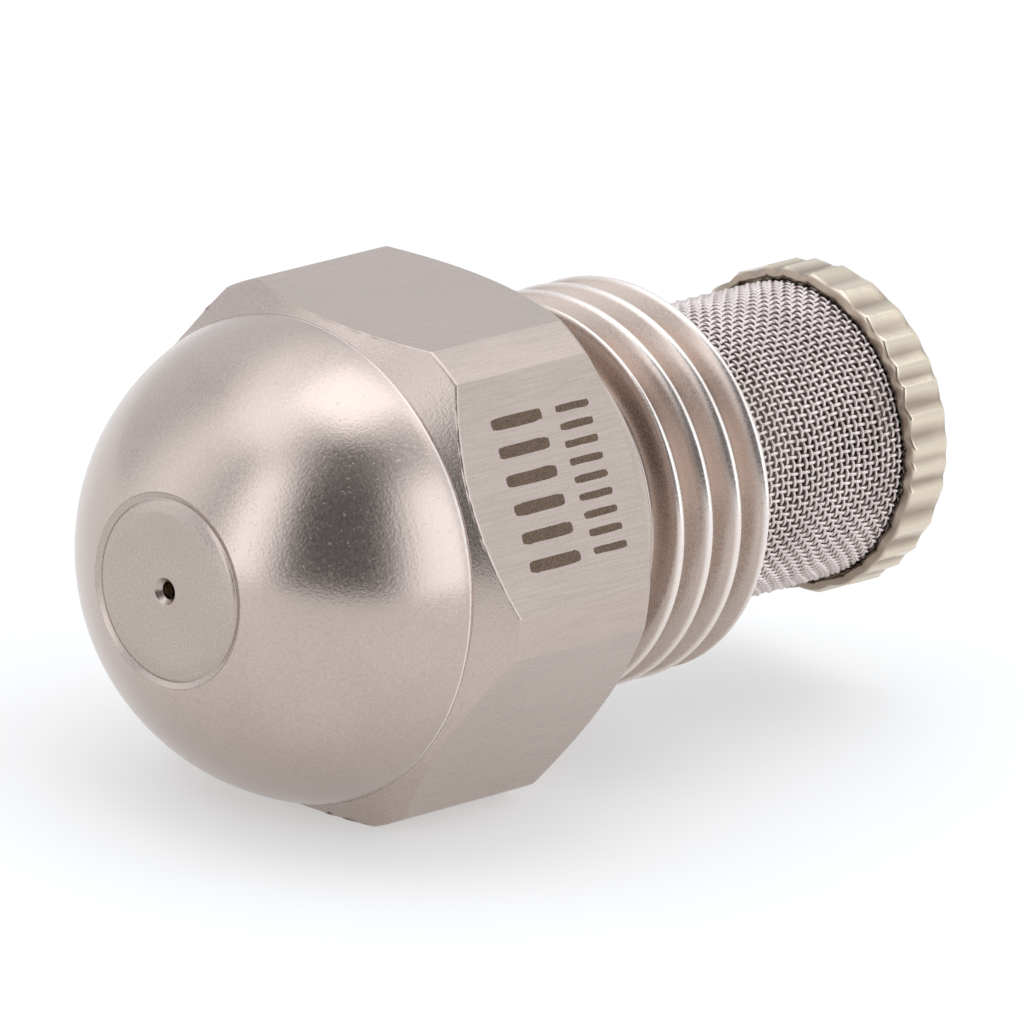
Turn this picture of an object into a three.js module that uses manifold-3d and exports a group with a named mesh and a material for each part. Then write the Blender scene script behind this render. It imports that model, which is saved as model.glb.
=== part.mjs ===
// Oil burner nozzle with a screwed-in strainer.
// Millimetres, +Z up. X is the nozzle's axis: the spray tip points to -X and the strainer to +X.
// x = 0 is the seat plane at the back of the hexagon, and one flat of the hexagon faces down.
import * as THREE from 'three';
import { mergeVertices } from 'three/addons/utils/BufferGeometryUtils.js';
import Module from 'manifold-3d';

const wasm = await Module();
wasm.setup();

// ---------------------------------------------------------------- driving dimensions

const FIT = 0.04;                 // gap left between faces that touch on the real nozzle
const SIDES = 60;                 // facets of the body's outside
const SMALL_SIDES = 48;           // facets of the inner pieces
const PIPE_THREAD_SIDES = 30;     // facets of one turn of the outer thread
const INNER_THREAD_SIDES = 20;    // facets of one turn of the inner threads

// Hexagon, milled on a round bar whose corners stay round.
const ACROSS_FLATS = 16;
const BAR_RADIUS = 8.85;
const HEX_FRONT = -7.79;          // where the front chamfer meets the middle of a flat
const HEX_BACK = -0.35;           // where the back chamfer meets the middle of a flat
const CHAMFER_SLOPE = 0.87;       // chamfer length along X for each millimetre of radius
const SEAT_RADIUS = 7.6;          // outer radius of the flat seat at x = 0

// Domed nose, with a narrow groove between the dome and the hexagon.
const DOME_RADIUS = 8.1;
const DOME_CENTRE = -6.32;
const DOME_BACK = -8.14;
const DOME_STEPS = 10;
const NECK_GROOVE_RADIUS = 7.45;
const NECK_GROOVE_EDGE = 7.8;     // radius where the dome's back edge rounds into the groove
const NECK_GROOVE_BACK = -8.0;

// Outer thread: a parallel quarter-inch pipe thread with rounded crests.
const PIPE_PITCH = 1.337;
const PIPE_CREST = 6.5;
const PIPE_ROOT = 5.72;
const PIPE_THREAD_FRONT = 2.45;
const PIPE_THREAD_BACK = 7.55;
const END_CHAMFER = 0.6;
const COLLAR_RADIUS = 6.35;
const COLLAR_BACK = 1.7;
const RELIEF_RADIUS = 5.6;
const RELIEF_BACK = 2.35;
const RELIEF_TAPER = 0.15;
const BODY_BACK = 7.65;

// Inner bores and the M9 x 1 thread that holds the retaining screw and the strainer.
const NOSE_HOLE = 3.14;
const BORE = 3.96;
const BORE_FRONT = -12.6;
const MOUTH_CHAMFER = 0.15;
const INNER_PITCH = 1;
const INNER_THREAD_MAJOR = 4.5;
const INNER_THREAD_FRONT = -7.2;
const SCREW_ROOT = 3.82;
const SCREW_CREST = 4.4;
const COUNTERBORE = 5.25;
const COUNTERBORE_FRONT = 4.9;

// Orifice insert.
const TIP = -13.9;
const TIP_FACE_RADIUS = 2.63;
const TIP_BEVEL_BACK = -13.7;
const INSERT_FLANGE = 3.88;
const INSERT_BACK = -10.9;
const ORIFICE_RADIUS = 0.25;
const COUNTERSINK_RADIUS = 0.45;
const SWIRL_CHAMBER_RADIUS = 0.75;
const CONE_MOUTH_RADIUS = 2.65;

// Strainer.
const MESH_OUTER = 4.93;
const MESH_INNER = 4.69;
const MESH_FRONT = 6.1;
const MESH_BACK = 15.42;
const CAP_LIP = 15.02;
const CAP_BACK = 16.93;
const CAP_RADIUS = 5.33;
const CAP_WALL = 0.15;
const PLEATS = 26;
const PLEAT_HEIGHT = 0.05;

// ---------------------------------------------------------------- solids and booleans

function solidOf(geometry) {
  const source = geometry.clone();
  source.deleteAttribute('normal');
  source.deleteAttribute('uv');
  const merged = mergeVertices(source, 1e-4);
  const corners = merged.index.array;
  const kept = [];
  for (let i = 0; i < corners.length; i += 3) {
    const [a, b, c] = corners.slice(i, i + 3);
    if (a !== b && b !== c && c !== a) kept.push(a, b, c);
  }
  const mesh = new wasm.Mesh({
    numProp: 3,
    vertProperties: new Float32Array(merged.attributes.position.array),
    triVerts: new Uint32Array(kept),
  });
  return new wasm.Manifold(mesh);
}

function geometryOf(solid) {
  const mesh = solid.getMesh();
  const geometry = new THREE.BufferGeometry();
  geometry.setAttribute('position', new THREE.BufferAttribute(mesh.vertProperties, 3));
  geometry.setIndex(new THREE.BufferAttribute(mesh.triVerts, 1));
  const flat = geometry.toNonIndexed();
  flat.computeVertexNormals();
  return flat;
}

// A solid turned about X from an outline of [x, radius] points, which ends on the axis or on itself.
function turned(outline, sides = SMALL_SIDES) {
  const points = outline.map(([x, radius]) => new THREE.Vector2(radius, x));
  const onAxis = points[0].x === 0 && points[points.length - 1].x === 0;
  if (!onAxis) points.push(points[0].clone());
  const geometry = new THREE.LatheGeometry(points, sides);
  geometry.rotateZ(-Math.PI / 2);
  const solid = solidOf(geometry);
  return solid.volume() < 0 ? turned([...outline].reverse(), sides) : solid;
}

function rod(front, back, radius, sides = SMALL_SIDES) {
  return turned([[front, 0], [front, radius], [back, radius], [back, 0]], sides);
}

function block(width, depth, height, x, y, z) {
  const geometry = new THREE.BoxGeometry(width, depth, height);
  geometry.translate(x, y, z);
  return solidOf(geometry);
}

// A screw thread's ridge, straight first and then wound round X. Its place along X sets its phase,
// so every thread of one pitch fits every other. It fades in and out over a quarter of a turn, and
// its foot is sunk a little below the root so that it joins the shank.
function threadRidge({ pitch, root, crest, rootWidth, crestWidth, front, back, steps }) {
  const section = new THREE.Shape();
  section.moveTo(-rootWidth / 2, 0);
  section.lineTo(rootWidth / 2, 0);
  section.lineTo(crestWidth / 2, 1);
  section.lineTo(-crestWidth / 2, 1);
  const turns = (back - front) / pitch;
  const settings = { depth: turns, steps: Math.round(turns * steps), bevelEnabled: false };
  const geometry = new THREE.ExtrudeGeometry(section, settings);
  const position = geometry.attributes.position;
  const fadeTurns = 0.25;
  const sunkDepth = 0.12;
  const sunk = root - sunkDepth;
  for (let i = 0; i < position.count; i += 1) {
    const turn = position.getZ(i);
    const fade = Math.min(1, turn / fadeTurns, (turns - turn) / fadeTurns);
    const radius = position.getY(i) > 0.5 ? sunk + (crest - sunk) * fade : sunk;
    const middle = front + turn * pitch;
    const angle = (2 * Math.PI * middle) / pitch;
    position.setXYZ(i, middle + position.getX(i), -radius * Math.sin(angle), radius * Math.cos(angle));
  }
  return solidOf(geometry);
}

// ---------------------------------------------------------------- body

function domeArc(frontRadius, backX, steps) {
  const startAngle = Math.asin(frontRadius / DOME_RADIUS);
  const endAngle = Math.acos((DOME_CENTRE - backX) / DOME_RADIUS);
  return Array.from({ length: steps + 1 }, (_, i) => {
    const angle = startAngle + ((endAngle - startAngle) * i) / steps;
    return [DOME_CENTRE - DOME_RADIUS * Math.cos(angle), DOME_RADIUS * Math.sin(angle)];
  });
}

function hexagonPrism() {
  const length = 60;
  const corner = ACROSS_FLATS / Math.sqrt(3);
  const geometry = new THREE.CylinderGeometry(corner, corner, length, 6);
  geometry.rotateZ(-Math.PI / 2);
  geometry.rotateX(Math.PI / 6);
  return solidOf(geometry);
}

function pipeThread() {
  const coreFront = RELIEF_BACK - 0.2;
  const overCrest = PIPE_CREST + 0.05;
  const endRadius = PIPE_ROOT + 0.15;
  const core = rod(coreFront, BODY_BACK, PIPE_ROOT, PIPE_THREAD_SIDES);
  const ridge = threadRidge({
    pitch: PIPE_PITCH, root: PIPE_ROOT, crest: PIPE_CREST, rootWidth: 1.22, crestWidth: 0.42,
    front: PIPE_THREAD_FRONT, back: PIPE_THREAD_BACK, steps: PIPE_THREAD_SIDES,
  });
  const envelope = turned([
    [coreFront - 0.1, 0], [coreFront - 0.1, PIPE_ROOT], [RELIEF_BACK, PIPE_ROOT],
    [PIPE_THREAD_FRONT + 0.2, overCrest], [BODY_BACK - END_CHAMFER, overCrest],
    [BODY_BACK, endRadius], [BODY_BACK, 0],
  ], PIPE_THREAD_SIDES);
  return core.add(ridge).intersect(envelope);
}

function nozzleBody() {
  const halfFlats = ACROSS_FLATS / 2;
  const chamferLength = CHAMFER_SLOPE * (BAR_RADIUS - halfFlats);
  const grooveTop = halfFlats + (NECK_GROOVE_BACK - HEX_FRONT) / CHAMFER_SLOPE;
  const dome = domeArc(NOSE_HOLE, DOME_BACK, DOME_STEPS);
  const domeFront = dome[0][0];
  const outside = turned([
    [domeFront, 0],
    ...dome,
    [DOME_BACK + FIT, NECK_GROOVE_EDGE],
    [DOME_BACK + FIT, NECK_GROOVE_RADIUS],
    [NECK_GROOVE_BACK, NECK_GROOVE_RADIUS],
    [NECK_GROOVE_BACK, grooveTop],
    [HEX_FRONT + chamferLength, BAR_RADIUS],
    [HEX_BACK - chamferLength, BAR_RADIUS],
    [0, SEAT_RADIUS],
    [0, COLLAR_RADIUS],
    [COLLAR_BACK, COLLAR_RADIUS],
    [COLLAR_BACK + RELIEF_TAPER, RELIEF_RADIUS],
    [RELIEF_BACK, RELIEF_RADIUS],
    [RELIEF_BACK, 0],
  ], SIDES);
  const runOut = 0.6;
  const innerThread = threadRidge({
    pitch: INNER_PITCH, root: BORE, crest: INNER_THREAD_MAJOR, rootWidth: 0.88, crestWidth: 0.26,
    front: INNER_THREAD_FRONT, back: COUNTERBORE_FRONT + runOut, steps: INNER_THREAD_SIDES,
  });
  const beyond = 0.5;
  const bores = turned([
    [TIP - beyond, 0], [TIP - beyond, NOSE_HOLE], [BORE_FRONT, NOSE_HOLE], [BORE_FRONT, BORE],
    [COUNTERBORE_FRONT, BORE], [COUNTERBORE_FRONT, COUNTERBORE],
    [BODY_BACK - MOUTH_CHAMFER, COUNTERBORE],
    [BODY_BACK + beyond, COUNTERBORE + MOUTH_CHAMFER + beyond], [BODY_BACK + beyond, 0],
  ], INNER_THREAD_SIDES);
  return outside.intersect(hexagonPrism()).add(pipeThread()).subtract(bores).subtract(innerThread);
}

// ---------------------------------------------------------------- pieces inside the body

function orificeInsert() {
  const boss = NOSE_HOLE - 0.05;
  const flangeFront = BORE_FRONT + FIT;
  const chamberBack = INSERT_BACK - (CONE_MOUTH_RADIUS - SWIRL_CHAMBER_RADIUS);
  const chamberLength = 0.45;
  const throatTaper = 0.3;
  const chamberFront = chamberBack - chamberLength;
  const throatFront = chamberFront - throatTaper;
  const sinkBack = TIP + (COUNTERSINK_RADIUS - ORIFICE_RADIUS);
  return turned([
    [TIP, COUNTERSINK_RADIUS], [TIP, TIP_FACE_RADIUS], [TIP_BEVEL_BACK, boss],
    [flangeFront, boss], [flangeFront, INSERT_FLANGE], [INSERT_BACK, INSERT_FLANGE],
    [INSERT_BACK, CONE_MOUTH_RADIUS], [chamberBack, SWIRL_CHAMBER_RADIUS],
    [chamberFront, SWIRL_CHAMBER_RADIUS], [throatFront, ORIFICE_RADIUS],
    [sinkBack, ORIFICE_RADIUS],
  ]);
}

// The core's nose fills the insert's cone, except for slots that enter the chamber tangentially.
function swirlCore() {
  const noseRadius = 0.8;
  const noseFront = INSERT_BACK - (CONE_MOUTH_RADIUS - noseRadius) + FIT * Math.SQRT2;
  const shoulder = -10.45;
  const shoulderRadius = noseRadius + (shoulder - noseFront);
  const coreRadius = 3.3;
  const back = -8.2;
  const slotCount = 4;
  const slotWidth = 0.45;
  const slotDepth = 0.35;
  let core = turned([
    [noseFront, 0], [noseFront, noseRadius], [shoulder, shoulderRadius], [shoulder, coreRadius],
    [back, coreRadius], [back, 0],
  ]);
  const coneMiddle = (noseFront + shoulder) / 2;
  const coneRadius = (noseRadius + shoulderRadius) / 2;
  for (let i = 0; i < slotCount; i += 1) {
    const geometry = new THREE.BoxGeometry(5, slotWidth, 2 * slotDepth);
    geometry.rotateY(-Math.PI / 4);
    geometry.translate(coneMiddle, noseRadius - slotWidth / 2, coneRadius);
    geometry.rotateX((2 * Math.PI * i) / slotCount);
    core = core.subtract(solidOf(geometry));
  }
  return core;
}

// A male screw that runs in the body's inner thread with clearance on its crests and flanks.
function innerScrew(front, back) {
  const plainEnd = 0.35;
  const ridge = threadRidge({
    pitch: INNER_PITCH, root: SCREW_ROOT, crest: SCREW_CREST, rootWidth: 0.8, crestWidth: 0.16,
    front: front + plainEnd, back: back - plainEnd, steps: INNER_THREAD_SIDES,
  });
  return rod(front, back, SCREW_ROOT, INNER_THREAD_SIDES).add(ridge);
}

function retainingScrew() {
  const front = -7.3;
  const back = -3.9;
  const noseFront = -8.2 + FIT;
  const noseRadius = 2.6;
  const oilwayRadius = 1.3;
  const slotWidth = 1.1;
  const slotDepth = 1.0;
  const notchDepth = 0.6;
  const notchWidth = 0.9;
  const across = 12;
  let screw = innerScrew(front, back).add(rod(noseFront, front + 0.1, noseRadius));
  screw = screw.subtract(rod(noseFront - 1, back + 1, oilwayRadius));
  screw = screw.subtract(block(2 * slotDepth, across, slotWidth, back, 0, 0));
  for (const angle of [Math.PI / 4, -Math.PI / 4]) {
    const notch = new THREE.BoxGeometry(2 * notchDepth, across, notchWidth);
    notch.translate(noseFront, 0, 0);
    notch.rotateX(angle);
    screw = screw.subtract(solidOf(notch));
  }
  return screw;
}

// ---------------------------------------------------------------- strainer

const GASKET_THICKNESS = 0.4;
const GASKET_BACK = COUNTERBORE_FRONT + FIT + GASKET_THICKNESS;
const FLANGE_FRONT = GASKET_BACK + FIT;
const WALL_GAP = 0.08;            // between the counterbore's wall and what sits in it

function strainerGasket() {
  const front = COUNTERBORE_FRONT + FIT;
  const inner = 4.55;
  const outer = COUNTERBORE - WALL_GAP;
  return turned([[front, inner], [front, outer], [GASKET_BACK, outer], [GASKET_BACK, inner]]);
}

function strainerStem() {
  const screwFront = 0.9;
  const screwBack = 4.7;
  const neckRadius = 3.6;
  const flangeBack = MESH_FRONT - FIT;
  const flangeRadius = COUNTERBORE - WALL_GAP;
  const spigotRadius = MESH_INNER - 0.05;
  const edge = 0.3;
  const spigotBack = 7.6;
  const tubeRadius = 2.5;
  const oilwayRadius = 1.6;
  const discFront = 14.4;
  const seatFront = MESH_BACK + FIT;
  const seatRadius = CAP_RADIUS - CAP_WALL - 2 * PLEAT_HEIGHT - 0.03;
  const back = CAP_BACK - CAP_WALL - FIT;
  const spool = turned([
    [screwBack - 0.1, 0], [screwBack - 0.1, neckRadius], [FLANGE_FRONT, neckRadius],
    [FLANGE_FRONT, flangeRadius], [flangeBack, flangeRadius], [flangeBack, spigotRadius],
    [spigotBack, spigotRadius], [spigotBack, tubeRadius], [discFront, tubeRadius],
    [discFront, spigotRadius], [seatFront, spigotRadius], [seatFront, seatRadius],
    [back - edge, seatRadius], [back, seatRadius - edge], [back, 0],
  ]);
  let stem = innerScrew(screwFront, screwBack).add(spool);
  const oilwayBack = 14;
  stem = stem.subtract(rod(screwFront - 1, oilwayBack, oilwayRadius));
  const portRadius = 0.75;
  const portRows = 4;
  const firstPort = 8.8;
  const portSpacing = 1.5;
  for (let row = 0; row < portRows; row += 1) {
    const port = new THREE.CylinderGeometry(portRadius, portRadius, 8, 16);
    port.rotateX(Math.PI / 2 + (row % 2) * (Math.PI / 2));
    port.translate(firstPort + row * portSpacing, 0, 0);
    stem = stem.subtract(solidOf(port));
  }
  return stem;
}

function strainerMesh() {
  return turned([
    [MESH_FRONT, MESH_INNER], [MESH_FRONT, MESH_OUTER],
    [MESH_BACK, MESH_OUTER], [MESH_BACK, MESH_INNER],
  ]);
}

function meshCollar() {
  const inner = MESH_OUTER + 0.03;
  const outer = COUNTERBORE - WALL_GAP - 0.02;
  const back = 7.3;
  return turned([[MESH_FRONT, inner], [MESH_FRONT, outer], [back, outer], [back, inner]]);
}

// A thin drawn cap whose skirt is pleated where it was crimped.
function strainerCap() {
  const corner = 0.35;
  const cornerBulge = 0.1;
  const innerCorner = 0.3;
  const pleatFade = 0.8;
  const innerRadius = CAP_RADIUS - CAP_WALL;
  const innerBack = CAP_BACK - CAP_WALL;
  const points = [
    [CAP_BACK, 0], [CAP_BACK, CAP_RADIUS - corner],
    [CAP_BACK - cornerBulge, CAP_RADIUS - cornerBulge], [CAP_BACK - corner, CAP_RADIUS],
    [CAP_LIP + pleatFade, CAP_RADIUS], [CAP_LIP, CAP_RADIUS],
    [CAP_LIP, innerRadius], [CAP_LIP + pleatFade, innerRadius],
    [innerBack - innerCorner, innerRadius], [innerBack, innerRadius - innerCorner], [innerBack, 0],
  ];
  const profile = points.map(([x, radius]) => new THREE.Vector2(radius, x));
  const geometry = new THREE.LatheGeometry(profile.reverse(), PLEATS * 4);
  geometry.rotateZ(-Math.PI / 2);
  const position = geometry.attributes.position;
  for (let i = 0; i < position.count; i += 1) {
    const [x, y, z] = [position.getX(i), position.getY(i), position.getZ(i)];
    const radius = Math.hypot(y, z);
    if (radius > 0) {
      const depth = THREE.MathUtils.smoothstep(-x, -CAP_BACK, -CAP_BACK + pleatFade);
      const pleat = PLEAT_HEIGHT * depth * Math.cos(PLEATS * Math.atan2(y, z));
      const scale = radius < CAP_RADIUS - 1 ? 1 : (radius + pleat) / radius;
      position.setXYZ(i, x, y * scale, z * scale);
    }
  }
  return solidOf(geometry);
}

// ---------------------------------------------------------------- named meshes

const STAINLESS = { color: 0xb7b0aa, roughness: 0.42, metalness: 1 };
const BRASS = { color: 0xb6924a, roughness: 0.4, metalness: 1 };
const MESH_STEEL = { color: 0x9c9995, roughness: 0.5, metalness: 1 };
const PALE_GOLD = { color: 0xcfc3a0, roughness: 0.35, metalness: 1 };
const GASKET_GREY = { color: 0xc8c8c8, roughness: 0.6, metalness: 1 };

const PIECES = [
  ['nozzle_body', nozzleBody, STAINLESS],
  ['orifice_insert', orificeInsert, STAINLESS],
  ['swirl_core', swirlCore, BRASS],
  ['retaining_screw', retainingScrew, BRASS],
  ['strainer_gasket', strainerGasket, GASKET_GREY],
  ['strainer_stem', strainerStem, BRASS],
  ['strainer_mesh', strainerMesh, MESH_STEEL],
  ['mesh_collar', meshCollar, BRASS],
  ['strainer_cap', strainerCap, PALE_GOLD],
];

const group = new THREE.Group();
for (const [name, make, look] of PIECES) {
  const mesh = new THREE.Mesh(geometryOf(make()), new THREE.MeshStandardMaterial(look));
  mesh.name = name;
  group.add(mesh);
}

export default group;
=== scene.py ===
"""Looks of the oil burner nozzle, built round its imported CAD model.

Lengths below are millimetres along the nozzle's axis, X, or radii from it. They become metres in
mesh_piece(). The tip points to -X, the strainer to +X, and x = 0 is the seat behind the hexagon.
"""
import math

import bmesh
import bpy
import numpy as np
from mathutils import Matrix, Vector


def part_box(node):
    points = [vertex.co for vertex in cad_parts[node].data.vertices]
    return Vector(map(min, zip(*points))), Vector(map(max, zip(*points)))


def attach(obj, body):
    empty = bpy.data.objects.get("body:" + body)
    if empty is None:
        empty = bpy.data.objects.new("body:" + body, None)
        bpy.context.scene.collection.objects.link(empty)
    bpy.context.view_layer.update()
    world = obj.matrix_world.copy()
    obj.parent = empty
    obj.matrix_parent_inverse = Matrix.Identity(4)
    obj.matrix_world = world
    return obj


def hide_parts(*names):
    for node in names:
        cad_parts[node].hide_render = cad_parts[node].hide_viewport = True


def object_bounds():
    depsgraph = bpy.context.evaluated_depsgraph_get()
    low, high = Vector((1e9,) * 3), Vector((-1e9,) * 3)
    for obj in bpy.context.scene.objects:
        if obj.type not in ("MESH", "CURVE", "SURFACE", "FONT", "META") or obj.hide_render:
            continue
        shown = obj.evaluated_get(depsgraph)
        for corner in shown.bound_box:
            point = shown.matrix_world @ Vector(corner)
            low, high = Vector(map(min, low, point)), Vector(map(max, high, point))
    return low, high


MM = 0.001

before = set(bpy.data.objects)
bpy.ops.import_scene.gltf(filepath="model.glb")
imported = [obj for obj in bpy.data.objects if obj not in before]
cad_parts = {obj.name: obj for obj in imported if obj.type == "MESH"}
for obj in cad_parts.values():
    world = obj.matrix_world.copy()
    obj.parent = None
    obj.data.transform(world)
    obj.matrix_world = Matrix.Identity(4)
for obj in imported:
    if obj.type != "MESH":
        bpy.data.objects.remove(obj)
cad_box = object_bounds()


def cad_span(node):
    """Where a CAD node starts and ends along X, in millimetres."""
    low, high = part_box(node)
    return low.x / MM, high.x / MM


def cad_radius(node):
    """Half a CAD node's width across Z, in millimetres."""
    low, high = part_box(node)
    return (high.z - low.z) / 2 / MM


# ------------------------------------------------------------------ driving dimensions

TIP = cad_span("orifice_insert")[0]
BODY_BACK = cad_span("nozzle_body")[1]
HALF_FLATS = cad_radius("nozzle_body")
MESH_FRONT, MESH_BACK = cad_span("strainer_mesh")
MESH_RADIUS = cad_radius("strainer_mesh")
CAP_LIP, CAP_BACK = cad_span("strainer_cap")
CAP_RADIUS = cad_radius("strainer_cap")
FLATS = 6

BAR_RADIUS = 8.85
HEX_FRONT, HEX_BACK = -7.79, -0.35
CHAMFER_SLOPE = 0.87
SEAT_RADIUS = 7.6
DOME_RADIUS, DOME_CENTRE, DOME_BACK = 8.1, -6.32, -8.14
NECK_GROOVE_RADIUS, NECK_GROOVE_BACK = 7.45, -8.05
NOSE_HOLE, BORE, BORE_FRONT = 3.14, 3.96, -12.6
COLLAR_RADIUS, COLLAR_BACK = 6.35, 1.7
RELIEF_RADIUS, RELIEF_BACK = 5.6, 2.35
PIPE_CREST, PIPE_ROOT, PIPE_PITCH = 6.5, 5.7, 1.337
CREST_HIGHLIGHT = (PIPE_CREST - 0.12, PIPE_CREST - 0.03)      # radii over which a painted highlight lightens the thread towards its crest
COUNTERBORE, COUNTERBORE_FRONT = 5.25, 4.9
SLEEVE_RADIUS, SLEEVE_FRONT = 4.6, -7.6
INNER_ROOT, INNER_PITCH = 4.5, 1.0
GASKET_HOLE, CLOTH_GAP = 4.55, 0.03
MARKED_FLAT = 60                       # degrees about X from the top flat to the etched one

# The camera, in metres, degrees and millimetres of lens. Azimuths count from +Y towards +X.
CAMERA_AIM = Vector((1.88, -0.16, -0.28)) * MM
CAMERA_AZIMUTH, CAMERA_ELEVATION, CAMERA_ROLL = 49.0, 20.0, -6.9
CAMERA_DISTANCE, CAMERA_LENS = 0.656, 725.7

# Brightness of the studio round the object, against the azimuth in degrees from the camera's side
# (positive towards the picture's left): near the horizon, and high above it.
LOW_LIGHT = [
    (-180, 0.93), (-150, 0.95), (-125, 1.15), (-99, 1.0), (-80, 1.25), (-63, 2.0), (-47, 1.85),
    (-37, 1.2), (-28, 0.4), (-20, 0.17), (13, 0.17), (21, 0.5), (29, 1.45), (41, 2.15), (50, 1.4),
    (60, 0.75), (72, 1.15), (90, 1.45), (104, 1.2), (118, 0.88), (150, 0.96), (180, 0.93),
]
HIGH_LIGHT = [
    (-180, 1.3), (-150, 1.7), (-122, 2.1), (-100, 1.9), (-85, 1.3), (-73, 0.85), (-55, 0.75),
    (-38, 0.5), (-15, 0.25), (8, 0.25), (22, 0.6), (40, 1.1), (60, 1.7), (80, 1.85), (105, 1.65),
    (135, 1.45), (165, 1.25), (180, 1.3),
]
TOP_LIGHT = 1.75
LIGHT_SCALE = 2.2
LIGHT_TINT = (0.97, 1.0, 1.035)
LOW_TO_HIGH, HIGH_TO_TOP = (38, 58), (62, 82)     # elevations over which one fades into the next

# The lamp overhead, in degrees, metres and watts.
LAMP_ELEVATION, LAMP_DISTANCE, LAMP_SIZE, LAMP_POWER = 88, 0.6, 0.3, 0.15

# ------------------------------------------------------------------ meshes


def mesh_piece(name, points, faces, body, smooth=True):
    """A mesh object from points in millimetres, riding on a CAD body."""
    data = bpy.data.meshes.new(name)
    data.from_pydata((np.asarray(points) * MM).tolist(), [], faces)
    data.validate()
    for polygon in data.polygons:
        polygon.use_smooth = smooth
    piece = bpy.data.objects.new(name, data)
    bpy.context.scene.collection.objects.link(piece)
    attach(piece, body)
    return piece


def round_x(x, radius, angle):
    """Points at a radius and an angle about X, counted from +Z by the right-hand rule."""
    return np.stack([x, -radius * np.sin(angle), radius * np.cos(angle)], axis=-1)


def ring_faces(rows, columns, close_rows):
    """Quads of a grid of rows by columns that closes round its columns."""
    last = rows if close_rows else rows - 1
    r, c = np.meshgrid(np.arange(last), np.arange(columns), indexing="ij")
    r2, c2 = (r + 1) % rows, (c + 1) % columns
    quads = np.stack([r * columns + c, r * columns + c2, r2 * columns + c2, r2 * columns + c], -1)
    return quads.reshape(-1, 4).tolist()


def rounded_path(outline):
    """Rows through an outline whose corners are rounded.

    The outline is a list of (label, corner, rounding), where a corner is an (n, 2) array of
    [x, radius]. The result is a list of (label, row). A rounding takes up at most a set share of
    the shorter side at its corner. A side that is some roundings long gets one more row beside
    each rounded corner, which keeps the rounding's shading out of the side.
    """
    steps, most_of_side, long_side, guard = 3, 0.45, 4, 1.5
    rows = []
    count = len(outline)
    for i, (label, corner, rounding) in enumerate(outline):
        if rounding == 0:
            rows.append((label, corner))
            continue
        before = outline[(i - 1) % count][1] - corner
        after = outline[(i + 1) % count][1] - corner
        length_before = np.linalg.norm(before, axis=-1, keepdims=True)
        length_after = np.linalg.norm(after, axis=-1, keepdims=True)
        reach = np.minimum(rounding, most_of_side * np.minimum(length_before, length_after))
        start = corner + before / length_before * reach
        end = corner + after / length_after * reach
        if length_before.mean() > long_side * reach.mean():
            rows.append((label, corner + before / length_before * reach * guard))
        for step in range(steps + 1):
            t = step / steps
            bent = (1 - t) ** 2 * start + 2 * t * (1 - t) * corner + t ** 2 * end
            rows.append((label, bent))
        if length_after.mean() > long_side * reach.mean():
            rows.append((label, corner + after / length_after * reach * guard))
    return rows


def capped(rows, columns):
    """Points and faces of a grid whose first and last rows close in a point on the axis."""
    points = np.concatenate(rows)
    faces = ring_faces(len(rows), columns, False)
    ends = [rows[0].mean(axis=0), rows[-1].mean(axis=0)]
    first, last = len(points), len(points) + 1
    start = (len(rows) - 1) * columns
    for c in range(columns):
        c2 = (c + 1) % columns
        faces.append([first, c2, c])
        faces.append([last, start + c, start + c2])
    return np.concatenate([points, ends]), faces


def turned_piece(name, outline, body, columns=128):
    """A ring turned about X from the (x, radius, rounding) corners of its section."""
    path = [(None, np.array([[x, radius]]), rounding) for x, radius, rounding in outline]
    rows = rounded_path(path)
    angle = np.arange(columns) * 2 * math.pi / columns
    grid = [round_x(np.full(columns, row[0, 0]), row[0, 1], angle) for _, row in rows]
    faces = ring_faces(len(grid), columns, True)
    return mesh_piece(name, np.concatenate(grid), faces, body)


def tubes(name, paths, radius, normals, sides, closed, body):
    """Round wires along many paths of one length; normals point away from X at each point."""
    ahead = np.roll(paths, -1, axis=1) - np.roll(paths, 1, axis=1)
    if not closed:
        ahead[:, 0] = paths[:, 1] - paths[:, 0]
        ahead[:, -1] = paths[:, -1] - paths[:, -2]
    ahead /= np.linalg.norm(ahead, axis=-1, keepdims=True)
    side = np.cross(ahead, normals)
    side /= np.linalg.norm(side, axis=-1, keepdims=True)
    up = np.cross(side, ahead)
    turn = (np.arange(sides) * 2 * math.pi / sides)[:, None]
    points, faces = [], []
    for path, s, u in zip(paths, side, up):
        ring = path[:, None] + radius * (np.cos(turn) * s[:, None] + np.sin(turn) * u[:, None])
        first = len(points) * ring.shape[0] * sides
        quads = np.array(ring_faces(ring.shape[0], sides, closed)) + first
        faces.extend(quads.tolist())
        if not closed:
            faces.append((first + np.arange(sides)).tolist())
            faces.append((first + ring.shape[0] * sides - 1 - np.arange(sides)).tolist())
        points.append(ring.reshape(-1, 3))
    return mesh_piece(name, np.concatenate(points), faces, body)


# ------------------------------------------------------------------ body


def body_angles():
    """Angles of the body's columns, with more of them at the long edges of each flat."""
    edge = math.acos(HALF_FLATS / BAR_RADIUS)    # where a flat meets the round bar
    half = math.pi / FLATS
    near = math.radians(0.35)
    on_flat, at_bend, on_bar = 40, 5, 7
    inside = np.linspace(-edge + near, edge - near, on_flat)
    bend = np.linspace(-near, near, at_bend)[:-1]
    strip = np.linspace(edge + near, 2 * half - edge - near, on_bar)
    sector = np.concatenate([inside, edge + bend, strip, 2 * half - edge + bend])
    sector = np.unique(np.round(sector, 9))
    return np.concatenate([sector + 2 * half * i for i in range(FLATS)])


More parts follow.
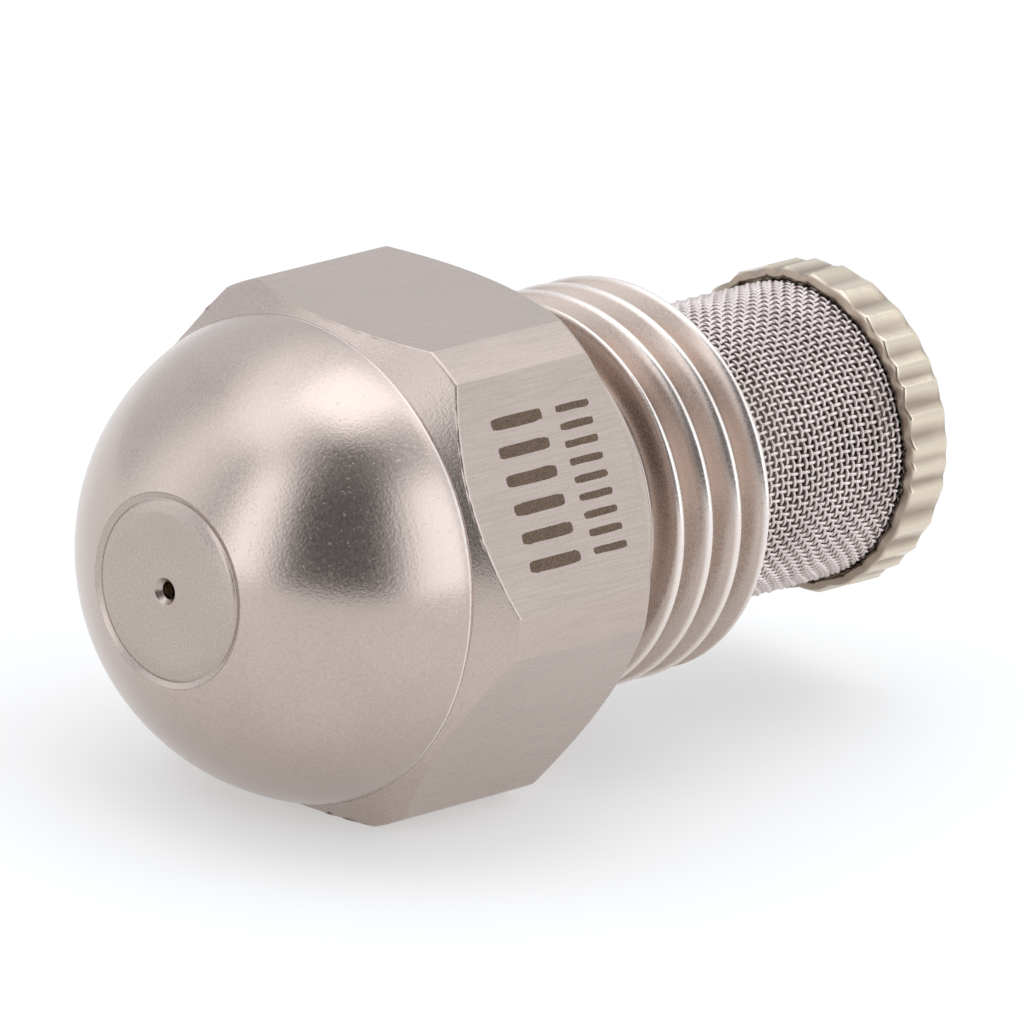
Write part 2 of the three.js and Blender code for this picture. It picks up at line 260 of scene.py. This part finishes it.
def hexagon_radius(angle):
    """Radius of a hexagon milled on round bar, with its long edges just broken."""
    half = math.pi / FLATS
    off_flat = (angle + half) % (2 * half) - half
    flat = HALF_FLATS / np.cos(off_flat)
    broken = 0.012
    overlap = np.clip(0.5 + (BAR_RADIUS - flat) / (2 * broken), 0, 1)
    blended = BAR_RADIUS * (1 - overlap) + flat * overlap
    return blended - broken * overlap * (1 - overlap)


def smaller(a, b, soft):
    """The smaller of two heights, with the corner between them rounded over soft."""
    mix = np.clip(0.5 + (b - a) / (2 * soft), 0, 1)
    return b * (1 - mix) + a * mix - soft * mix * (1 - mix)


def pipe_thread_radius(x, angle):
    """Radius of the outer thread: rounded crests that fade into the relief and the end chamfer."""
    run_out_length, end_radius, end_slope, soft = 0.45, PIPE_ROOT + 0.15, 1.05, 0.05
    along = (x / PIPE_PITCH - angle / (2 * math.pi)) % 1
    radius = PIPE_ROOT + (PIPE_CREST - PIPE_ROOT) * (0.5 + 0.5 * np.cos(2 * math.pi * along))
    run_out = np.clip((x - RELIEF_BACK) / run_out_length, 0, 1)
    radius = RELIEF_RADIUS + (radius - RELIEF_RADIUS) * run_out * run_out * (3 - 2 * run_out)
    return smaller(radius, end_radius + end_slope * (BODY_BACK - x), soft)


def burr_teeth(top):
    """How far the long edges of each milled flat stray along X, as [x, radius] for each column."""
    usual, most, clear_of_bar = 0.026, 0.07, 0.05
    random = np.random.default_rng(7)
    teeth = np.minimum(random.normal(0, usual, len(top)) ** 2 / usual, most)
    on_flat = top < BAR_RADIUS - clear_of_bar
    return np.stack([-teeth * on_flat, np.zeros(len(top))], -1)


def make_body():
    """The nozzle's body in one closed skin, and the names of the zones that its faces belong to."""
    thread_rows, dome_rows = 180, 32
    lip_depth, relief_taper, mouth_chamfer = 0.05, 0.15, 0.12
    angle = body_angles()
    count = len(angle)
    top = hexagon_radius(angle)

    def ring(x, radius):
        return np.stack([np.broadcast_to(x, count), np.broadcast_to(radius, count)], -1)

    rise = CHAMFER_SLOPE * (top - HALF_FLATS)
    groove_top = HALF_FLATS + (NECK_GROOVE_BACK - HEX_FRONT) / CHAMFER_SLOPE
    arc_start = math.asin(NOSE_HOLE / DOME_RADIUS)
    arc_end = math.acos((DOME_CENTRE - DOME_BACK) / DOME_RADIUS)
    arc = np.linspace(arc_start, arc_end, dome_rows)
    dome = [ring(DOME_CENTRE - DOME_RADIUS * math.cos(a), DOME_RADIUS * math.sin(a)) for a in arc]
    thread_x = np.linspace(RELIEF_BACK, BODY_BACK, thread_rows)
    thread = [ring(x, pipe_thread_radius(x, angle)) for x in thread_x]

    outline = [("bore", ring(BORE_FRONT, NOSE_HOLE), 0)]
    outline += [("dome", dome[0], 0.02)]
    outline += [("dome", row, 0) for row in dome[1:-2]]      # leaves room to round the lip
    outline += [
        ("lip", dome[-1], 0.19),
        ("dome", ring(DOME_BACK + lip_depth, NECK_GROOVE_RADIUS), 0),
        ("chamfer", ring(NECK_GROOVE_BACK, NECK_GROOVE_RADIUS), 0),
        ("chamfer", ring(NECK_GROOVE_BACK, groove_top), 0.03),
        ("burred", ring(HEX_FRONT + rise, top), 0.07),
        ("hexagon", ring(HEX_BACK - rise, top), 0.07),
        ("chamfer", ring(0, SEAT_RADIUS), 0.08),
        ("chamfer", ring(0, COLLAR_RADIUS), 0.1),
        ("thread", ring(COLLAR_BACK, COLLAR_RADIUS), 0.12),
        ("thread", ring(COLLAR_BACK + relief_taper, RELIEF_RADIUS), 0.1),
    ]
    outline += [("thread", row, 0) for row in thread]
    outline += [
        ("bore", ring(BODY_BACK, COUNTERBORE + mouth_chamfer), 0.05),
        ("bore", ring(BODY_BACK - mouth_chamfer, COUNTERBORE), 0.05),
        ("bore", ring(COUNTERBORE_FRONT, COUNTERBORE), 0.05),
        ("bore", ring(COUNTERBORE_FRONT, SLEEVE_RADIUS), 0),
        ("bore", ring(SLEEVE_FRONT, SLEEVE_RADIUS), 0),
        ("bore", ring(SLEEVE_FRONT, BORE), 0),
        ("bore", ring(BORE_FRONT, BORE), 0),
    ]
    rows = rounded_path(outline)
    burr = burr_teeth(top)
    burred = [i for i, (zone, _) in enumerate(rows) if zone == "burred"]
    ragged = burred[2:-2]              # the outer rows stay even, so that they meet their sides
    for i in burred:
        rows[i] = ("hexagon", rows[i][1] + (burr if i in ragged else 0))
    points = np.concatenate([round_x(row[:, 0], row[:, 1], angle) for _, row in rows])
    faces = ring_faces(len(rows), count, True)
    body = mesh_piece("body_shell", points, faces, "nozzle")
    names = ["dome", "lip", "chamfer", "hexagon", "thread", "bore"]
    index = np.repeat([names.index(zone) for zone, _ in rows], count)
    body.data.polygons.foreach_set("material_index", index.astype(np.int32))
    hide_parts("nozzle_body")
    return body, names


def inner_thread_radius(x, angle):
    """Radius of the inner thread: a groove with straight sides, from the bore out to its root."""
    steepness, flat_part = 1.6, 0.3
    along = (x / INNER_PITCH - angle / (2 * math.pi)) % 1
    height = np.clip(steepness * np.abs(2 * along - 1) - flat_part, 0, 1)
    return BORE + (INNER_ROOT - BORE) * height


def make_thread_sleeve():
    """The inner thread of the body, which the retaining screw and the strainer stem screw into."""
    columns, thread_rows, gap = 96, 130, 0.02
    angle = np.arange(columns) * 2 * math.pi / columns
    back = COUNTERBORE_FRONT - gap
    front = SLEEVE_FRONT + gap
    rows = [round_x(np.full(columns, front), SLEEVE_RADIUS - gap, angle)]
    for x in np.linspace(front, back, thread_rows):
        rows.append(round_x(np.full(columns, x), inner_thread_radius(x, angle), angle))
    rows.append(round_x(np.full(columns, back), SLEEVE_RADIUS - gap, angle))
    faces = ring_faces(len(rows), columns, True)
    return mesh_piece("body_inner_thread", np.concatenate(rows), faces, "nozzle")


def make_orifice_insert():
    """The insert at the tip: its bevelled face and countersink in front, its cone behind."""
    face, bevel, step = 2.45, 2.85, 2.94
    boss, flange = NOSE_HOLE - 0.004, 3.88
    mouth, chamber, throat, sink = 2.65, 0.75, 0.27, 0.45
    bevel_back, step_back, sink_back = TIP + 0.13, TIP + 0.2, TIP + 0.2
    dome_edge = DOME_CENTRE - math.sqrt(DOME_RADIUS ** 2 - boss ** 2)
    flange_front, back = BORE_FRONT + 0.04, cad_span("orifice_insert")[1]
    chamber_back = back - (mouth - chamber)
    chamber_front, throat_back = chamber_back - 0.45, chamber_back - 0.75
    insert = turned_piece("orifice_face", [
        (TIP, sink, 0.02), (TIP, face, 0.2), (bevel_back, bevel, 0.08), (step_back, step, 0.02),
        (dome_edge, boss, 0.01), (flange_front, boss, 0),
        (flange_front, flange, 0.1), (back, flange, 0.1), (back, mouth, 0.05),
        (chamber_back, chamber, 0.05), (chamber_front, chamber, 0.05),
        (throat_back, throat, 0.05), (sink_back, throat, 0.03),
    ], "nozzle", columns=160)
    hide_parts("orifice_insert")
    return insert


# ------------------------------------------------------------------ strainer


def make_wire_cloth():
    """Plain-woven wire cloth: wires along X and hoops round it pass over and under each other."""
    wire = 0.062
    long_swing, hoop_swing = 1.3 * wire, 0.7 * wire
    long_wires, hoops = 120, 34
    points_per_crossing, sides, end_gap = 3, 6, 0.02
    centre = MESH_RADIUS - long_swing - wire
    pitch = (MESH_BACK - MESH_FRONT - 2 * wire) / (hoops - 1)
    first = MESH_FRONT + wire
    random = np.random.default_rng(11)

    def drift(x, angle):
        """Small, slow unevenness of the cloth, as an angle."""
        return 0.008 * np.sin(2.1 * x + 3 * angle) + 0.004 * np.sin(5 * angle)

    i = np.arange(long_wires)[:, None]
    x = np.linspace(MESH_FRONT + end_gap, MESH_BACK - end_gap, points_per_crossing * hoops)[None]
    angle = i * 2 * math.pi / long_wires
    angle = angle + drift(x, angle) + random.normal(0, 0.0015, (long_wires, 1))
    over = np.cos(math.pi * ((x - first) / pitch + i))
    x = np.broadcast_to(x, angle.shape)
    paths = round_x(x, centre + long_swing * over, angle)
    out = round_x(np.zeros_like(x), 1, angle)
    along = tubes("wires_lengthwise", paths, wire, out, sides, False, "strainer")

    j = np.arange(hoops)[:, None]
    turn = np.linspace(0, 2 * math.pi, points_per_crossing * long_wires, endpoint=False)[None]
    over = -np.cos(math.pi * (j + turn * long_wires / (2 * math.pi)))
    x = first + j * pitch + 0.012 * np.sin(3 * turn + j) + random.normal(0, 0.006, (hoops, 1))
    x = np.clip(x, MESH_FRONT + wire, MESH_BACK - wire)
    turned = turn + drift(first + j * pitch, turn)
    paths = round_x(x, centre + hoop_swing * over, turned)
    out = round_x(np.zeros_like(x), 1, turned)
    around = tubes("wires_round", paths, wire, out, sides, True, "strainer")
    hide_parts("strainer_mesh")
    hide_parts("strainer_mesh")
    return along, around


def make_cap():
    """Thin cap whose skirt was crimped in uneven pleats that run from its lip to its back."""
    pleats, columns_per_pleat = 31, 14
    columns = pleats * columns_per_pleat
    wall, edge, corner = 0.1, CAP_RADIUS - 0.005, 0.3
    pleat_depth, fold_step, deepest_at = 0.17, 0.06, 0.62
    curl, curl_end, lip_room = 0.26, 0.1, 0.1
    dish, rim, rim_slope, middle = 0.05, 4.3, 0.15, 1
    narrowest = MESH_RADIUS + CLOTH_GAP + wall
    random = np.random.default_rng(5)
    place = np.cumsum(random.uniform(0.7, 1.35, pleats))
    place = place / place[-1] * 2 * math.pi
    depth = random.uniform(0.6, 1.0, pleats)
    lean = random.uniform(0.2, 1.0, pleats)
    angle = np.arange(columns) * 2 * math.pi / columns
    which = np.searchsorted(place, angle, side="right") % pleats
    start = np.concatenate([[0], place[:-1]])[which]
    within = (angle - start) / (place[which] - start)
    fold = np.minimum(within / deepest_at, (1 - within) / (1 - deepest_at))
    sunk = pleat_depth * depth[which] * fold
    sunk = sunk + fold_step * lean[which] * within
    ragged = 0.04 * np.sin(2 * angle + 0.6) + 0.02 * np.sin(7 * angle) + 0.35 * sunk
    straight = CAP_BACK - corner - CAP_LIP

    def skirt(t, inwards):
        """A row of the skirt, from the lip at t = 0 to the corner at t = 1."""
        deep = 1 - 0.2 * t ** 3
        x = CAP_LIP + lip_room - ragged * (1 - t) + (straight - lip_room) * t
        x = np.maximum(x, CAP_LIP)
        curled = curl * max(0, 1 - t / curl_end) ** 2
        radius = np.maximum(edge - sunk * deep - curled, narrowest)
        return round_x(x, radius - inwards, angle)

    steps = np.concatenate([np.linspace(0, curl_end, 5), np.linspace(0.16, 1, 9)])
    outer = [skirt(t, 0) for t in steps]
    for a in np.linspace(0, math.pi / 2, 7)[1:]:
        x = CAP_BACK - corner * (1 - math.sin(a))
        radius = edge - corner * (1 - math.cos(a)) - 0.8 * sunk * math.cos(a)
        outer.append(round_x(np.full(columns, x), radius, angle))
    dished = CAP_BACK - dish
    for x, radius in ((CAP_BACK, rim + rim_slope), (dished, rim - rim_slope), (dished, middle)):
        outer.append(round_x(np.full(columns, x), radius, angle))
    inner = [skirt(t, wall) for t in steps]
    for radius in (edge - wall - corner, middle):
        inner.append(round_x(np.full(columns, CAP_BACK - wall), radius, angle))
    points, faces = capped(inner[::-1] + outer, columns)
    cap = mesh_piece("pleated_cap", points, faces, "strainer")
    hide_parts("strainer_cap")
    return cap


def make_rings():
    """The gasket, and the collar that clamps the cloth: they show when the strainer unscrews."""
    front, back = cad_span("strainer_gasket")
    inner, outer = GASKET_HOLE, cad_radius("strainer_gasket")
    gasket = turned_piece("gasket_ring", [
        (front, inner, 0.04), (front, outer, 0.04), (back, outer, 0.04), (back, inner, 0.04),
    ], "gasket")
    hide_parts("strainer_gasket")
    front, back = cad_span("mesh_collar")
    inner, outer = MESH_RADIUS + CLOTH_GAP, cad_radius("mesh_collar")
    collar = turned_piece("clamp_collar", [
        (front, inner, 0), (front, outer, 0.04), (back, outer, 0.08), (back, inner, 0.03),
    ], "strainer")
    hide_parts("mesh_collar")
    return gasket, collar


# ------------------------------------------------------------------ materials


# The values that most of a noise lies between, and a wider pair that leaves fewer flat patches.
MIDDLE, WIDE = (0.35, 0.65), (0.3, 0.7)
STEEL = (0.50, 0.42, 0.38)
# The light tint of the painted highlight on the thread's crests.
CREST_HIGHLIGHT_TINT = (0.86, 0.78, 0.74)


class Nodes:
    """A short way to write a material's node graph."""

    def __init__(self, name):
        self.material = bpy.data.materials.new(name)
        self.material.use_nodes = True
        self.tree = self.material.node_tree
        self.shader = self.tree.nodes["Principled BSDF"]
        self.place = self.tree.nodes.new("ShaderNodeTexCoord").outputs["Object"]

    def link(self, source, target):
        self.tree.links.new(source, target)

    def add(self, kind, inputs=None, **settings):
        """A node of a kind. Each input is another node's output or a plain value."""
        node = self.tree.nodes.new(kind)
        for key, value in settings.items():
            setattr(node, key, value)
        for key, value in (inputs or {}).items():
            if isinstance(value, bpy.types.NodeSocket):
                self.link(value, node.inputs[key])
            else:
                node.inputs[key].default_value = value
        return node

    def math(self, operation, a, b=0.0):
        return self.add("ShaderNodeMath", {0: a, 1: b}, operation=operation).outputs[0]

    def noise(self, scale, stretch=(1, 1, 1), detail=3.0, roughness=0.5, turn=(0, 0, 0)):
        """Noise of about 1 / scale metres. A stretch below 1 makes it longer along that axis."""
        mapping = self.add("ShaderNodeMapping", {
            "Vector": self.place, "Scale": stretch, "Rotation": turn})
        return self.add("ShaderNodeTexNoise", {
            "Vector": mapping.outputs[0], "Scale": scale, "Detail": detail,
            "Roughness": roughness}).outputs[0]

    def from_axis(self):
        """Distance from the nozzle's axis, in metres."""
        split = self.add("ShaderNodeSeparateXYZ", {0: self.place})
        y2 = self.math("POWER", split.outputs[1], 2.0)
        z2 = self.math("POWER", split.outputs[2], 2.0)
        return self.math("SQRT", self.math("ADD", y2, z2))

    def turning_marks(self, along_x, around):
        """Fine rings as a lathe leaves them, the same all the way round the axis."""
        split = self.add("ShaderNodeSeparateXYZ", {0: self.place})
        place = self.add("ShaderNodeCombineXYZ", {
            0: self.math("MULTIPLY", self.from_axis(), around),
            1: self.math("MULTIPLY", split.outputs[0], along_x)})
        return self.add("ShaderNodeTexNoise", {
            "Vector": place.outputs[0], "Scale": 1.0, "Detail": 2.0}).outputs[0]

    def band(self, value, low, high, to_low=0.0, to_high=1.0):
        """A value from low to high, mapped on to another range and held at its ends."""
        return self.add("ShaderNodeMapRange", {
            0: value, 1: low, 2: high, 3: to_low, 4: to_high}).outputs[0]

    def scratches(self, seed):
        """Thin, short, scattered lines in two directions, 0 to 1."""
        lines = []
        for turn in ((0.4 + seed, 0.9, 0.3 * seed), (1.7, 0.2 + seed, 2.1)):
            line = self.noise(15000, (0.06, 1, 1), 0.0, 0.5, turn)
            lines.append(self.band(line, 0.80, 0.86))
        return self.math("MAXIMUM", *lines)

    def colour(self, value, low, high):
        """A blend of two colours, from low at 0 to high at 1.

        A Mix node's sockets 6 and 7 are its two colours, and 2 is the blend that comes out.
        """
        mix = self.add("ShaderNodeMix", {0: value}, data_type="RGBA")
        mix.inputs[6].default_value = (*low, 1)
        mix.inputs[7].default_value = (*high, 1)
        return mix.outputs[2]

    def finish(self, colour, roughness, heights, metallic=1.0):
        """Wires colour, roughness and a list of (height, depth in metres) into the shader."""
        self.link(colour, self.shader.inputs["Base Color"])
        self.link(roughness, self.shader.inputs["Roughness"])
        self.shader.inputs["Metallic"].default_value = metallic
        total = None
        for height, depth in heights:
            scaled = self.math("MULTIPLY", height, depth)
            total = scaled if total is None else self.math("ADD", total, scaled)
        if total is not None:
            bump = self.add("ShaderNodeBump", {"Height": total, "Distance": 1.0, "Strength": 1.0})
            self.link(bump.outputs[0], self.shader.inputs["Normal"])
        return self.material


def shades(tint, low, high):
    """A darker and a lighter shade of a tint."""
    return tuple(low * c for c in tint), tuple(high * c for c in tint)


def steel(name, roughness, rings=0.0, grain=0.0, speckle=5e-6, tint=STEEL, seed=1.0, painted_ridge_light=None):
    """Tumbled stainless steel. Speckle, lathe rings and milling grain are depths in metres.

    The last argument is the pair of radii, in millimetres, between which a painted highlight
    lightens the steel towards the crest of a ridge.
    """
    n = Nodes(name)
    fine = n.noise(11000, detail=2.0, roughness=0.6)
    broad = n.noise(350, detail=2.0)
    scratch = n.scratches(seed)
    shade = n.math("ADD", n.math("MULTIPLY", fine, 0.7), n.math("MULTIPLY", broad, 0.3))
    if grain:
        streaks = n.noise(18000, (0.03, 1, 1), 1.0)
        shade = n.math("ADD", n.math("MULTIPLY", shade, 0.5), n.math("MULTIPLY", streaks, 0.5))
    # A painted highlight: the colour lightens towards the crest of a ridge.
    if painted_ridge_light:
        bright = n.band(n.from_axis(), painted_ridge_light[0] * MM, painted_ridge_light[1] * MM, 0.0, 0.8)
        bright = n.math("ADD", bright, n.band(shade, *MIDDLE, 0.0, 0.2))
        colour = n.colour(bright, tint, CREST_HIGHLIGHT_TINT)
    else:
        colour = n.colour(n.band(shade, *MIDDLE), *shades(tint, 0.92, 1.07))
    rough = n.band(shade, *MIDDLE, roughness - 0.05, roughness + 0.05)
    heights = [(fine, speckle), (broad, 8e-6), (scratch, -3e-6)]
    if rings:
        heights.append((n.turning_marks(9000, 9000), rings))
    if grain:
        heights.append((streaks, grain))
    return n.finish(colour, rough, heights)


def brass(name, tint):
    """Turned brass, with fine rings from the lathe."""
    roughness = 0.34
    n = Nodes(name)
    fine = n.noise(7000, detail=2.0)
    broad = n.noise(350)
    colour = n.colour(broad, *shades(tint, 0.75, 1.1))
    rough = n.band(fine, *WIDE, roughness - 0.06, roughness + 0.08)
    return n.finish(colour, rough, [(fine, 1.5e-6), (n.turning_marks(8000, 8000), 3e-6)])


def cap_metal():
    """Pressed sheet: painted highlights on the pleats' ridges, painted shade in the folds and lip.
    """
    n = Nodes("nickelled_sheet")
    fine = n.noise(9000, detail=3.0, roughness=0.6)
    broad = n.noise(600, detail=2.0)
    fold_bottom, ridge_top = CAP_RADIUS - 0.15, CAP_RADIUS - 0.055
    back_edge, back_inside = 5.0, 4.9
    # The colour follows the radius as painted light: lighter where the pleats stand out, darker in
    # the folds and where the lip curls in.
    ridge = n.band(n.from_axis(), fold_bottom * MM, ridge_top * MM)
    # The flat back is kept at a middle tone, clear of the painted shade.
    flat_back = n.band(n.from_axis(), back_edge * MM, back_inside * MM, 0.0, 0.6)
    painted_ridge_light = n.math("MAXIMUM", ridge, flat_back)
    painted_ridge_light = n.math("ADD", painted_ridge_light, n.band(broad, *WIDE, -0.06, 0.06))
    colour = n.colour(painted_ridge_light, (0.36, 0.29, 0.23), (0.70, 0.61, 0.49))
    rough = n.band(painted_ridge_light, 0.0, 1.0, 0.36, 0.2)
    dents = n.noise(1500)
    return n.finish(colour, rough, [(fine, 3e-6), (dents, 2e-5)])


def wire_metal():
    """Drawn stainless wire, a little uneven in shade from place to place."""
    n = Nodes("woven_wire")
    fine = n.noise(12000, detail=2.0)
    broad = n.noise(600)
    colour = n.colour(n.band(broad, *WIDE), (0.59, 0.52, 0.50), (0.74, 0.66, 0.64))
    rough = n.band(fine, *WIDE, 0.3, 0.45)
    return n.finish(colour, rough, [(fine, 2e-6)])


def gasket_metal():
    """Dull, soft aluminium."""
    n = Nodes("soft_aluminium")
    fine = n.noise(8000, detail=3.0)
    broad = n.noise(900)
    colour = n.colour(fine, (0.58, 0.58, 0.58), (0.74, 0.74, 0.74))
    rough = n.band(broad, *WIDE, 0.42, 0.55)
    return n.finish(colour, rough, [(fine, 2e-6)])


def etched():
    """Brown oxide that a marking laser leaves."""
    n = Nodes("laser_etch")
    fine = n.noise(16000, detail=4.0, roughness=0.7)
    colour = n.colour(n.band(fine, *MIDDLE), (0.05, 0.028, 0.018), (0.20, 0.13, 0.085))
    rough = n.band(fine, *WIDE, 0.5, 0.75)
    return n.finish(colour, rough, [(fine, 4e-6)], metallic=0.3)


def floor_material():
    """A pale lit surface, like a light table, so that shadows on it stay faint."""
    n = Nodes("pale_floor")
    colour = n.colour(n.noise(40), (0.50, 0.50, 0.50), (0.53, 0.53, 0.53))
    n.shader.inputs["Emission Color"].default_value = (1, 1, 1, 1)
    n.shader.inputs["Emission Strength"].default_value = 0.42
    rough = n.band(n.noise(300), *WIDE, 0.75, 0.85)
    return n.finish(colour, rough, [], metallic=0.0)


# ------------------------------------------------------------------ generic etched mark


def squared(value):
    """A sine or cosine pushed towards 1 or -1, which turns an ellipse into a rounded bar."""
    return np.sign(value) * abs(value) ** 0.35


def make_mark():
    """Plain dashes in place of the etched lettering: they say nothing and copy nothing."""
    facing = math.radians(MARKED_FLAT)
    out = Vector((0, -math.sin(facing), math.cos(facing)))
    across = Vector((0, math.cos(facing), math.sin(facing)))
    reach, uneven, corners = 2.3, 0.008, 28
    bottom, top = HALF_FLATS - 0.02, HALF_FLATS + 0.003
    rows = [                           # x of a row, half a dash's length and width, dashes
        (-4.9, 1.15, 0.2, 6),
        (-2.35, 0.75, 0.12, 9),
    ]
    random = np.random.default_rng(3)
    points, faces = [], []
    for x, half_length, half_width, dashes in rows:
        for place in np.linspace(-reach, reach, dashes):
            outline = []
            for turn in np.linspace(0, 2 * math.pi, corners, endpoint=False):
                u = x + squared(math.cos(turn)) * half_length + random.normal(0, uneven)
                v = place + squared(math.sin(turn)) * half_width + random.normal(0, uneven)
                outline.append((u, v))
            first = len(points)
            for height in (bottom, top):
                for u, v in outline:
                    points.append(Vector((u, 0, 0)) + across * v + out * height)
            count = len(outline)
            faces.append([first + k for k in range(count)][::-1])
            faces.append([first + count + k for k in range(count)])
            for k in range(count):
                k2 = (k + 1) % count
                faces.append([first + k, first + k2, first + count + k2, first + count + k])
    return mesh_piece("etched_dashes", points, faces, "nozzle", smooth=False)


# ------------------------------------------------------------------ stage, light and camera


def make_floor():
    """A wide floor at the height of the object's lowest point."""
    size, low = 1.5, cad_box[0][2]
    mesh = bmesh.new()
    bmesh.ops.create_grid(mesh, x_segments=8, y_segments=8, size=size)
    data = bpy.data.meshes.new("floor")
    mesh.to_mesh(data)
    mesh.free()
    floor = bpy.data.objects.new("floor", data)
    floor.location = (0, 0, low)
    bpy.context.scene.collection.objects.link(floor)
    data.materials.append(floor_material())


def make_overhead_light():
    """A square, soft area light nearly straight above the object."""
    light = bpy.data.lights.new("overhead", "AREA")
    light.shape, light.size, light.energy = "SQUARE", LAMP_SIZE, LAMP_POWER
    lamp = bpy.data.objects.new("overhead", light)
    elevation = math.radians(LAMP_ELEVATION)
    away = Vector((0, math.cos(elevation), math.sin(elevation)))
    lamp.location = away * LAMP_DISTANCE
    lamp.rotation_euler = away.to_track_quat("Z", "Y").to_euler()
    bpy.context.scene.collection.objects.link(lamp)


def make_camera():
    """A long lens that looks at the tip and one side from a little above, tilted slightly."""
    az, el = math.radians(CAMERA_AZIMUTH), math.radians(CAMERA_ELEVATION)
    forward = Vector((math.sin(az) * math.cos(el), math.cos(az) * math.cos(el), -math.sin(el)))
    data = bpy.data.cameras.new("camera")
    data.lens, data.sensor_width = CAMERA_LENS, 36
    camera = bpy.data.objects.new("camera", data)
    turn = forward.to_track_quat("-Z", "Y").to_matrix().to_4x4()
    roll = Matrix.Rotation(math.radians(-CAMERA_ROLL), 4, "Z")
    camera.matrix_world = Matrix.Translation(CAMERA_AIM - forward * CAMERA_DISTANCE) @ turn @ roll
    bpy.context.scene.collection.objects.link(camera)
    bpy.context.scene.camera = camera


def make_world():
    """A bright studio that is dark behind the camera, as a room with light tents round it is."""
    world = bpy.data.worlds.new("studio")
    bpy.context.scene.world = world
    world.use_nodes = True
    tree = world.node_tree
    place = tree.nodes.new("ShaderNodeTexCoord").outputs["Generated"]
    az = math.radians(CAMERA_AZIMUTH)
    to_camera = (-math.sin(az), -math.cos(az), 0)
    to_left = (-math.cos(az), math.sin(az), 0)

    def math_node(operation, *inputs):
        node = tree.nodes.new("ShaderNodeMath")
        node.operation = operation
        for i, value in enumerate(inputs):
            if isinstance(value, bpy.types.NodeSocket):
                tree.links.new(value, node.inputs[i])
            else:
                node.inputs[i].default_value = value
        return node.outputs[0]

    def dot(direction):
        node = tree.nodes.new("ShaderNodeVectorMath")
        node.operation = "DOT_PRODUCT"
        tree.links.new(place, node.inputs[0])
        node.inputs[1].default_value = direction
        return node.outputs["Value"]

    def ramp(stops):
        node = tree.nodes.new("ShaderNodeValToRGB")
        tree.links.new(turn, node.inputs[0])
        elements = node.color_ramp.elements
        for i, (azimuth, light) in enumerate(stops):
            at = azimuth / 360 + 0.5
            element = elements[i] if i < 2 else elements.new(at)
            element.position = at
            element.color = (*(light / LIGHT_SCALE * c for c in LIGHT_TINT), 1)
        return node.outputs[0]

    def fade(elevations, low, high):
        step = tree.nodes.new("ShaderNodeMapRange")
        step.interpolation_type = "SMOOTHSTEP"
        tree.links.new(rise, step.inputs["Value"])
        step.inputs["From Min"].default_value = math.radians(elevations[0])
        step.inputs["From Max"].default_value = math.radians(elevations[1])
        node = tree.nodes.new("ShaderNodeMix")
        node.data_type = "RGBA"
        tree.links.new(step.outputs[0], node.inputs[0])
        tree.links.new(low, node.inputs[6])
        if isinstance(high, bpy.types.NodeSocket):
            tree.links.new(high, node.inputs[7])
        else:
            node.inputs[7].default_value = high
        return node.outputs[2]

    turn = math_node("ARCTAN2", dot(to_left), dot(to_camera))
    turn = math_node("ADD", math_node("DIVIDE", turn, 2 * math.pi), 0.5)
    rise = math_node("ARCSINE", dot((0, 0, 1)))
    top = (*(TOP_LIGHT / LIGHT_SCALE * c for c in LIGHT_TINT), 1)
    walls = fade(LOW_TO_HIGH, ramp(LOW_LIGHT), ramp(HIGH_LIGHT))
    light = fade(HIGH_TO_TOP, walls, top)
    background = tree.nodes["Background"]
    tree.links.new(light, background.inputs["Color"])
    background.inputs["Strength"].default_value = LIGHT_SCALE


# ------------------------------------------------------------------ putting it together

body, zones = make_body()
looks = {
    "dome": steel("dome_steel", 0.21, rings=1.5e-6, speckle=4.5e-6),
    # The lip's much lighter tint is a painted highlight along the dome's rounded rim.
    "lip": steel("lip_painted_highlight", 0.2, speckle=2e-6, tint=(0.78, 0.70, 0.67), seed=7.0),
    "chamfer": steel("chamfer_steel", 0.25, rings=2e-6, seed=2.0),
    "hexagon": steel("hexagon_steel", 0.30, grain=1.5e-6, speckle=3e-6, seed=3.0),
    # The thread steel paints a highlight on its crests.
    "thread": steel(
        "thread_steel", 0.26, speckle=2e-6, tint=(0.50, 0.41, 0.36), seed=4.0, painted_ridge_light=CREST_HIGHLIGHT),
    "bore": steel("bore_steel", 0.35, rings=3e-6, seed=5.0),
}
for zone in zones:
    body.data.materials.append(looks[zone])
make_thread_sleeve().data.materials.append(looks["bore"])
make_orifice_insert().data.materials.append(steel(
    "insert_turned", 0.26, rings=8e-6, speckle=3e-6, tint=(0.45, 0.38, 0.345), seed=6.0))
cloth = wire_metal()
for wires in make_wire_cloth():
    wires.data.materials.append(cloth)
make_cap().data.materials.append(cap_metal())
make_mark().data.materials.append(etched())

inner_brass = brass("turned_brass", (0.54, 0.40, 0.21))
stem_brass = brass("dulled_brass", (0.40, 0.33, 0.24))
gasket, collar = make_rings()
gasket.data.materials.append(gasket_metal())
collar.data.materials.append(inner_brass)
cad_looks = {
    "swirl_core": inner_brass,
    "retaining_screw": inner_brass,
    "strainer_stem": stem_brass,
}
for node, look in cad_looks.items():
    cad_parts[node].data.materials.clear()
    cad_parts[node].data.materials.append(look)

make_floor()
make_world()
make_camera()
make_overhead_light()
bpy.context.scene.view_settings.view_transform = "Standard"
